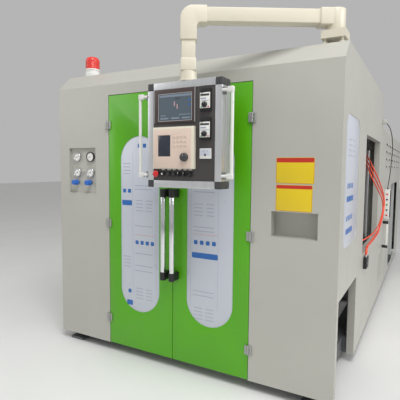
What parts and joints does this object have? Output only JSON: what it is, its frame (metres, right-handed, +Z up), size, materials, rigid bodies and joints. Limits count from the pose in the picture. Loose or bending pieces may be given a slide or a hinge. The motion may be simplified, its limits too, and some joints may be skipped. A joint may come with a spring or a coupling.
{
  "type": "blow moulding machine",
  "caption": "Enclosed blow moulding machine with hinged green front doors, a hanging control pendant on a swing arm, side openings, hoses and a rear extruder section.",
  "frame": {"origin": "on the floor at the centre of the four floor anchors", "axes": "+X to the machine's right seen from the front, +Y from the front doors to the rear end, +Z up"},
  "size_m": [2.386, 5.9703, 2.6383],
  "materials": {
    "body_paint": "satin light grey paint",
    "door_paint": "satin yellow-green paint",
    "frame_paint": "grey paint",
    "pale_frame": "pale grey paint",
    "window_film": "clear pane under a pale film",
    "chrome": "polished",
    "hinge_metal": "grey",
    "blue_knob": "moulded",
    "lamp_base": "moulded",
    "red_lens": "moulded lens",
    "black_part": "moulded",
    "white_box": "smooth paint",
    "hose_rubber": "orange-red hose",
    "cable_jacket": "black jacket",
    "arm_paint": "cream paint",
    "silver_profile": "satin anodised",
    "charcoal": "fine texture",
    "screen": "display",
    "beige": "moulded",
    "red_button": "moulded",
    "machine_blue": "paint",
    "steel": "machined",
    "mould_metal": "machined",
    "gauge": "polished case"
  },
  "bodies": {
    "frame": {"base_frame": "frame_paint", "cabinet_frame": "pale_frame", "front_left_panel": "body_paint", "front_right_panel": "body_paint", "front_hood": "body_paint", "roof_panel": "body_paint", "left_wall": "body_paint", "right_front_wall": "body_paint", "right_middle_wall": "body_paint", "bulkhead": "body_paint", "rear_cover": "body_paint", "louvre_panel": "body_paint", "vent_grille": "pale_frame", "side_window": "window_film", "door_hinges": "hinge_metal", "pressure_gauges": "gauge", "lamp_base": "lamp_base", "lamp_dome": "red_lens", "side_controls": "white_box", "wall_fittings": "black_part", "hose_1": "hose_rubber", "hose_2": "hose_rubber", "hose_3": "hose_rubber", "signal_cable": "cable_jacket", "arm_base": "arm_paint", "clamp_frame": "machine_blue", "die_head": "steel", "extruder": "steel", "feed_hopper": "steel", "hydraulic_unit": "machine_blue"},
    "left_door": {"left_door": "door_paint", "left_door_window": "window_film", "left_door_handle": "chrome"},
    "right_door": {"right_door": "door_paint", "right_door_window": "window_film", "right_door_handle": "chrome"},
    "arm": {"swing_arm": "arm_paint"},
    "pendant": {"pendant_coupling": "arm_paint", "pendant_frame": "silver_profile", "pendant_back": "charcoal", "pendant_face": "charcoal", "pendant_handles": "white_box", "touch_screen": "screen", "parison_controller": "beige", "speed_units": "white_box"},
    "left_regulator": {"left_regulator_knob": "blue_knob"},
    "right_regulator": {"right_regulator_knob": "blue_knob"},
    "controller_dial": {"controller_knob": "black_part"},
    "stop_button": {"emergency_stop": "red_button"},
    "button_1": {"push_button_1": "black_part"},
    "button_2": {"push_button_2": "black_part"},
    "button_3": {"push_button_3": "black_part"},
    "selector_1": {"selector_switch_1": "black_part"},
    "selector_2": {"selector_switch_2": "black_part"},
    "upper_speed": {"upper_speed_knob": "black_part"},
    "lower_speed": {"lower_speed_knob": "black_part"},
    "left_clamp": {"left_platen": "mould_metal"},
    "right_clamp": {"right_platen": "mould_metal"},
    "blow": {"blow_pin": "steel"},
    "lid": {"hopper_lid": "steel"}
  },
  "joints": [
    {"name": "left_door_hinge", "type": "hinge", "parent": "frame", "child": "left_door", "pos_m": [-0.612, -2.81, 1.05], "axis": [0, 0, -1], "range_deg": [0, 110]},
    {"name": "right_door_hinge", "type": "hinge", "parent": "frame", "child": "right_door", "pos_m": [0.593, -2.81, 1.05], "axis": [0, 0, 1], "range_deg": [0, 18]},
    {"name": "arm_swing", "type": "hinge", "parent": "frame", "child": "arm", "pos_m": [1.05, -2.605, 2.413], "axis": [0, 0, 1], "range_deg": [0, 150]},
    {"name": "pendant_swivel", "type": "hinge", "parent": "arm", "child": "pendant", "pos_m": [0.27, -3.062, 2.05], "axis": [0, 0, 1], "range_deg": [-45, 45]},
    {"name": "left_regulator_turn", "type": "hinge", "parent": "frame", "child": "left_regulator", "pos_m": [-0.96, -2.8, 1.363], "axis": [0, -1, 0], "range_deg": [-180, 180]},
    {"name": "right_regulator_turn", "type": "hinge", "parent": "frame", "child": "right_regulator", "pos_m": [-0.817, -2.8, 1.363], "axis": [0, -1, 0], "range_deg": [-180, 180]},
    {"name": "controller_dial_turn", "type": "hinge", "parent": "pendant", "child": "controller_dial", "pos_m": [0.298, -3.152, 1.555], "axis": [0, -1, 0], "range_deg": [-135, 135]},
    {"name": "upper_speed_turn", "type": "hinge", "parent": "pendant", "child": "upper_speed", "pos_m": [0.4275, -3.142, 1.862], "axis": [0, -1, 0], "range_deg": [-135, 135]},
    {"name": "lower_speed_turn", "type": "hinge", "parent": "pendant", "child": "lower_speed", "pos_m": [0.4275, -3.142, 1.692], "axis": [0, -1, 0], "range_deg": [-135, 135]},
    {"name": "selector_1_turn", "type": "hinge", "parent": "pendant", "child": "selector_1", "pos_m": [0.246, -3.122, 1.452], "axis": [0, -1, 0], "range_deg": [-45, 45]},
    {"name": "selector_2_turn", "type": "hinge", "parent": "pendant", "child": "selector_2", "pos_m": [0.285, -3.122, 1.452], "axis": [0, -1, 0], "range_deg": [-45, 45]},
    {"name": "stop_press", "type": "slide", "parent": "pendant", "child": "stop_button", "axis": [0, 1, 0], "range_m": [0, 0.004]},
    {"name": "button_1_press", "type": "slide", "parent": "pendant", "child": "button_1", "axis": [0, 1, 0], "range_m": [0, 0.003], "stiffness_N_per_m": 1500, "springref_m": -0.002},
    {"name": "button_2_press", "type": "slide", "parent": "pendant", "child": "button_2", "axis": [0, 1, 0], "range_m": [0, 0.003], "stiffness_N_per_m": 1500, "springref_m": -0.002},
    {"name": "button_3_press", "type": "slide", "parent": "pendant", "child": "button_3", "axis": [0, 1, 0], "range_m": [0, 0.003], "stiffness_N_per_m": 1500, "springref_m": -0.002},
    {"name": "left_clamp_close", "type": "slide", "parent": "frame", "child": "left_clamp", "axis": [1, 0, 0], "range_m": [0, 0.16]},
    {"name": "right_clamp_close", "type": "slide", "parent": "frame", "child": "right_clamp", "axis": [1, 0, 0], "range_m": [-0.16, 0]},
    {"name": "blow_pin_rise", "type": "slide", "parent": "frame", "child": "blow", "axis": [0, 0, 1], "range_m": [0, 0.12]},
    {"name": "hopper_lid_open", "type": "hinge", "parent": "frame", "child": "lid", "pos_m": [-0.0095, 1.547, 2.608], "axis": [-1, 0, 0], "range_deg": [0, 100]}
  ],
  "couplings": [
    {"joint": "right_clamp_close", "follows": "left_clamp_close", "ratio": -1}
  ]
}
